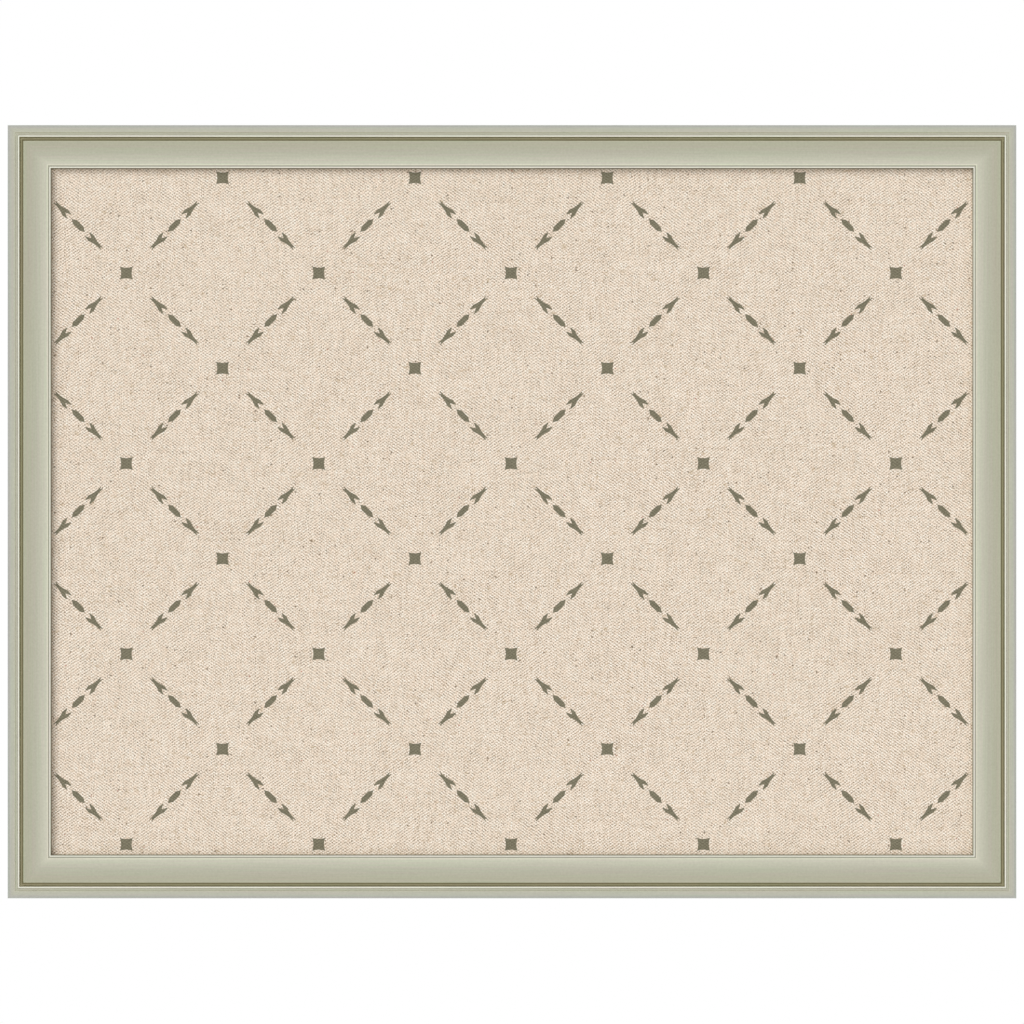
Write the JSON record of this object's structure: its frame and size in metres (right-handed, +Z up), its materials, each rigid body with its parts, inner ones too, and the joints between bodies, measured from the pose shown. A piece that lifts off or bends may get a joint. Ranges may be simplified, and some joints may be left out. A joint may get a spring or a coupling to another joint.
{
  "type": "pin board",
  "caption": "Framed pin board: a mitred scoop moulding round a fabric-covered cork panel, with strap hangers and swinging D-rings on the back.",
  "frame": {"origin": "the middle of the wall plane, which the four bumper faces touch", "axes": "+X along the width, +Z up, and the face looks along -Y"},
  "size_m": [0.6528, 0.0302, 0.5006],
  "materials": {
    "leaf_finish": "satin",
    "fabric": "matte",
    "cork": "matte",
    "fibreboard": "matte",
    "hardboard": "matte",
    "steel": "satin",
    "zinc_plate": "satin",
    "rubber": "matte"
  },
  "bodies": {
    "board": {"rail_top": "leaf_finish", "rail_bottom": "leaf_finish", "rail_left": "leaf_finish", "rail_right": "leaf_finish", "v_nail_top_left_1": "steel", "v_nail_top_left_2": "steel", "v_nail_top_right_1": "steel", "v_nail_top_right_2": "steel", "v_nail_bottom_left_1": "steel", "v_nail_bottom_left_2": "steel", "v_nail_bottom_right_1": "steel", "v_nail_bottom_right_2": "steel", "fabric_cover": "fabric", "cork_sheet": "cork", "fibreboard_core": "fibreboard", "hardboard_back": "hardboard", "framer_point_top_1": "steel", "framer_point_top_2": "steel", "framer_point_top_3": "steel", "framer_point_bottom_1": "steel", "framer_point_bottom_2": "steel", "framer_point_bottom_3": "steel", "framer_point_left_1": "steel", "framer_point_left_2": "steel", "framer_point_right_1": "steel", "framer_point_right_2": "steel", "staple_top_1": "steel", "staple_top_2": "steel", "staple_top_3": "steel", "staple_top_4": "steel", "staple_bottom_1": "steel", "staple_bottom_2": "steel", "staple_bottom_3": "steel", "staple_bottom_4": "steel", "staple_left_1": "steel", "staple_left_2": "steel", "staple_left_3": "steel", "staple_right_1": "steel", "staple_right_2": "steel", "staple_right_3": "steel", "strap_hanger_top": "zinc_plate", "strap_hanger_bottom": "zinc_plate", "strap_hanger_left": "zinc_plate", "strap_hanger_right": "zinc_plate", "hanger_screw_top": "zinc_plate", "hanger_screw_bottom": "zinc_plate", "hanger_screw_left": "zinc_plate", "hanger_screw_right": "zinc_plate", "bumper_top_left": "rubber", "bumper_top_right": "rubber", "bumper_bottom_left": "rubber", "bumper_bottom_right": "rubber"},
    "ring_top": {"d_ring_top": "zinc_plate"},
    "ring_bottom": {"d_ring_bottom": "zinc_plate"},
    "ring_left": {"d_ring_left": "zinc_plate"},
    "ring_right": {"d_ring_right": "zinc_plate"}
  },
  "joints": [
    {"name": "ring_top_swing", "type": "hinge", "parent": "board", "child": "ring_top", "pos_m": [-0.17645, -0.00275, 0.23983], "axis": [0, 0, -1], "range_deg": [0, 178]},
    {"name": "ring_bottom_swing", "type": "hinge", "parent": "board", "child": "ring_bottom", "pos_m": [-0.17645, -0.00275, -0.23983], "axis": [0, 0, -1], "range_deg": [0, 178]},
    {"name": "ring_left_swing", "type": "hinge", "parent": "board", "child": "ring_left", "pos_m": [-0.31603, -0.00275, 0.10025], "axis": [-1, 0, 0], "range_deg": [0, 178]},
    {"name": "ring_right_swing", "type": "hinge", "parent": "board", "child": "ring_right", "pos_m": [0.31603, -0.00275, 0.10025], "axis": [-1, 0, 0], "range_deg": [0, 178]}
  ]
}
